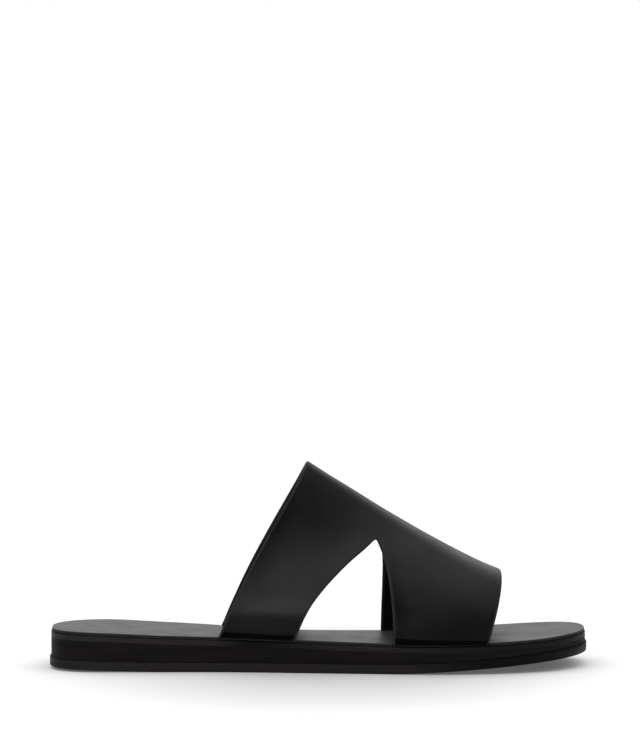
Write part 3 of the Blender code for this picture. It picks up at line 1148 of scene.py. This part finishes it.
class SLIDE_OT_upper(bpy.types.Operator):
    """Arched leather wall with both straps and their burnished cut edges"""

    bl_idname = "slide_sandal.upper"
    bl_label = "Upper"

    columns = 24
    lower_rows = 36
    top_rows = 22
    edge_steps = 6
    waves_per_metre = 38.0

    def execute(self, context):
        scene = context.scene
        finish, upper = scene.slide_finish, scene.slide_upper
        last = Last(scene.slide_sole)
        arch = Arch(last, upper)
        build = bmesh.new()
        upper_sheet(build, arch, self.columns, self.lower_rows, self.top_rows)
        for vert in build.verts:
            wave = noise.noise(vert.co * self.waves_per_metre) * upper.undulation
            vert.co += vert.normal * wave
        rounded_shell(build, upper.wall, upper.edge_rounding, self.edge_steps)
        # Faces in the crease at the strap's foot take material 3, painted shade
        shaded_foot = build.faces.layers.int["shaded_foot"]
        for face in build.faces:
            if face[shaded_foot]:
                face.material_index = 3
        materials = [
            leather_material(
                "upper leather", finish.upper, roughness=0.38, cells=2100.0,
                depth=0.00004, gloss=0.16, light=finish.upper_light),
            leather_material(
                "upper cut edge", finish.edge, roughness=0.50, cells=3200.0,
                depth=0.00003, gloss=0.12),
            leather_material(
                "upper lining", finish.lining, roughness=0.70, cells=1400.0,
                depth=0.00008, gloss=0.1),
            # Painted shade: the darkest colour with almost no gloss, in the crease at the strap's
            # foot
            leather_material(
                "upper crease shade", finish.upper, roughness=0.60, cells=2100.0,
                depth=0.00004, gloss=0.03),
        ]
        piece = add_piece("upper_leather", build, last, "upper", materials)
        smooth = piece.modifiers.new("smooth", "SUBSURF")
        smooth.levels = smooth.render_levels = 1
        return {"FINISHED"}


class SLIDE_OT_stage(bpy.types.Operator):
    """Pale floor, soft light from above and behind, and the camera"""

    bl_idname = "slide_sandal.stage"
    bl_label = "Stage"

    floor_corners = 96
    floor_roughness = 0.9
    floor_gloss = 0.1
    # Where the floor's shade begins to fade and ends, in half sizes of the shade
    shade_range = (0.35, 1.0)
    # Where the lights of the room begin and end, as parts of a direction's
    # height for the top light and of its depth for the other two
    top_range = (0.0, 0.9)
    back_range = (-0.2, 0.8)
    panel_range = (0.61, 0.97)
    camera_reach = 50

    def floor(self, stage):
        build = bmesh.new()
        bmesh.ops.create_circle(
            build, cap_ends=True, segments=self.floor_corners, radius=stage.floor_radius)
        mesh = mesh_from(build, "floor")
        material, tree, shader, place = new_material(
            "floor", stage.floor, self.floor_roughness)
        stretched = make_node(
            tree, "ShaderNodeMapping",
            {"Vector": place, "Scale": (1 / stage.pool_length, 1 / stage.pool_width, 0.0)})
        away = make_node(
            tree, "ShaderNodeVectorMath", {0: stretched.outputs[0]}, operation="LENGTH")
        fade = ramp(
            tree, away.outputs["Value"], *self.shade_range, stage.floor_shade, 1.0,
            "SMOOTHSTEP")
        shaded = make_node(
            tree, "ShaderNodeVectorMath", {0: stage.floor, "Scale": fade},
            operation="SCALE")
        tree.links.new(shaded.outputs[0], shader.inputs["Base Color"])
        shader.inputs["Specular IOR Level"].default_value = self.floor_gloss
        shader.inputs["Emission Color"].default_value = (*stage.floor, 1)
        shader.inputs["Emission Strength"].default_value = stage.floor_glow
        mesh.materials.append(material)
        place_object("floor", mesh)

    def light(self, stage):
        world = bpy.data.worlds.new("studio")
        bpy.context.scene.world = world
        world.use_nodes = True
        tree = world.node_tree
        background = tree.nodes["Background"]
        place = make_node(tree, "ShaderNodeTexCoord")
        parts = make_node(
            tree, "ShaderNodeSeparateXYZ", {0: place.outputs["Generated"]}).outputs
        top = ramp(tree, parts["Z"], *self.top_range, 0.0, stage.top_light, "SMOOTHSTEP")
        behind = ramp(
            tree, parts["Y"], *self.back_range, stage.room_light, stage.back_light,
            "SMOOTHSTEP")
        panel = ramp(
            tree, parts["Y"], *self.panel_range, stage.reflected_room, stage.reflected_panel,
            "SMOOTHSTEP")
        path = make_node(tree, "ShaderNodeLightPath")
        glow = make_node(
            tree, "ShaderNodeMix",
            {"Factor": path.outputs["Is Glossy Ray"], "A": maths(tree, "ADD", top, behind),
             "B": panel}).outputs[0]
        seen = maths(tree, "MAXIMUM", path.outputs["Is Camera Ray"], glow)
        tree.links.new(seen, background.inputs["Strength"])
        background.inputs["Color"].default_value = (1, 1, 1, 1)

    def camera(self, stage):
        data = bpy.data.cameras.new("camera")
        data.lens = stage.lens
        data.clip_end = self.camera_reach
        camera = place_object("camera", data)
        bpy.context.scene.camera = camera
        pixels = stage.lens / data.sensor_width * PHOTO_SIZE[1]
        turn = math.atan((PHOTO_SIZE[0] / 2 - PHOTO_ORIGIN[0]) / pixels)
        rise = math.atan((PHOTO_ORIGIN[1] - PHOTO_SIZE[1] / 2) / pixels)
        elevation = stage.camera_elevation
        camera.location = (
            0, -stage.camera_distance * math.cos(elevation),
            stage.camera_distance * math.sin(elevation))
        camera.rotation_euler = (math.pi / 2 - elevation + rise, 0, -turn)

    def execute(self, context):
        stage = context.scene.slide_stage
        self.floor(stage)
        self.light(stage)
        self.camera(stage)
        context.scene.view_settings.view_transform = "Standard"
        return {"FINISHED"}


OPERATORS = (
    SLIDE_OT_outsole,
    SLIDE_OT_midsole,
    SLIDE_OT_rand,
    SLIDE_OT_insole,
    SLIDE_OT_upper,
    SLIDE_OT_stage,
)


class SLIDE_PT_panel(bpy.types.Panel):
    """Lists the sandal's pieces and their sizes and colours"""

    bl_idname = "SLIDE_PT_panel"
    bl_label = "Slide Sandal"
    bl_space_type = "VIEW_3D"
    bl_region_type = "UI"
    bl_category = "Sandal"

    def draw(self, context):
        for operator in OPERATORS:
            self.layout.operator(operator.bl_idname)
        for name, settings in SETTINGS.items():
            box = self.layout.box()
            box.label(text=settings.__doc__)
            group = getattr(context.scene, name)
            for key in settings.__annotations__:
                box.prop(group, key)


CLASSES = (*SETTINGS.values(), *OPERATORS, SLIDE_PT_panel)


def register():
    for item in CLASSES:
        bpy.utils.register_class(item)
    for name, settings in SETTINGS.items():
        setattr(bpy.types.Scene, name, bpy.props.PointerProperty(type=settings))


def unregister():
    for name in SETTINGS:
        delattr(bpy.types.Scene, name)
    for item in reversed(CLASSES):
        bpy.utils.unregister_class(item)


def main():
    register()
    bpy.ops.slide_sandal.outsole()
    bpy.ops.slide_sandal.midsole()
    bpy.ops.slide_sandal.rand()
    bpy.ops.slide_sandal.insole()
    bpy.ops.slide_sandal.upper()
    bpy.ops.slide_sandal.stage()


if __name__ == "__main__":
    main()
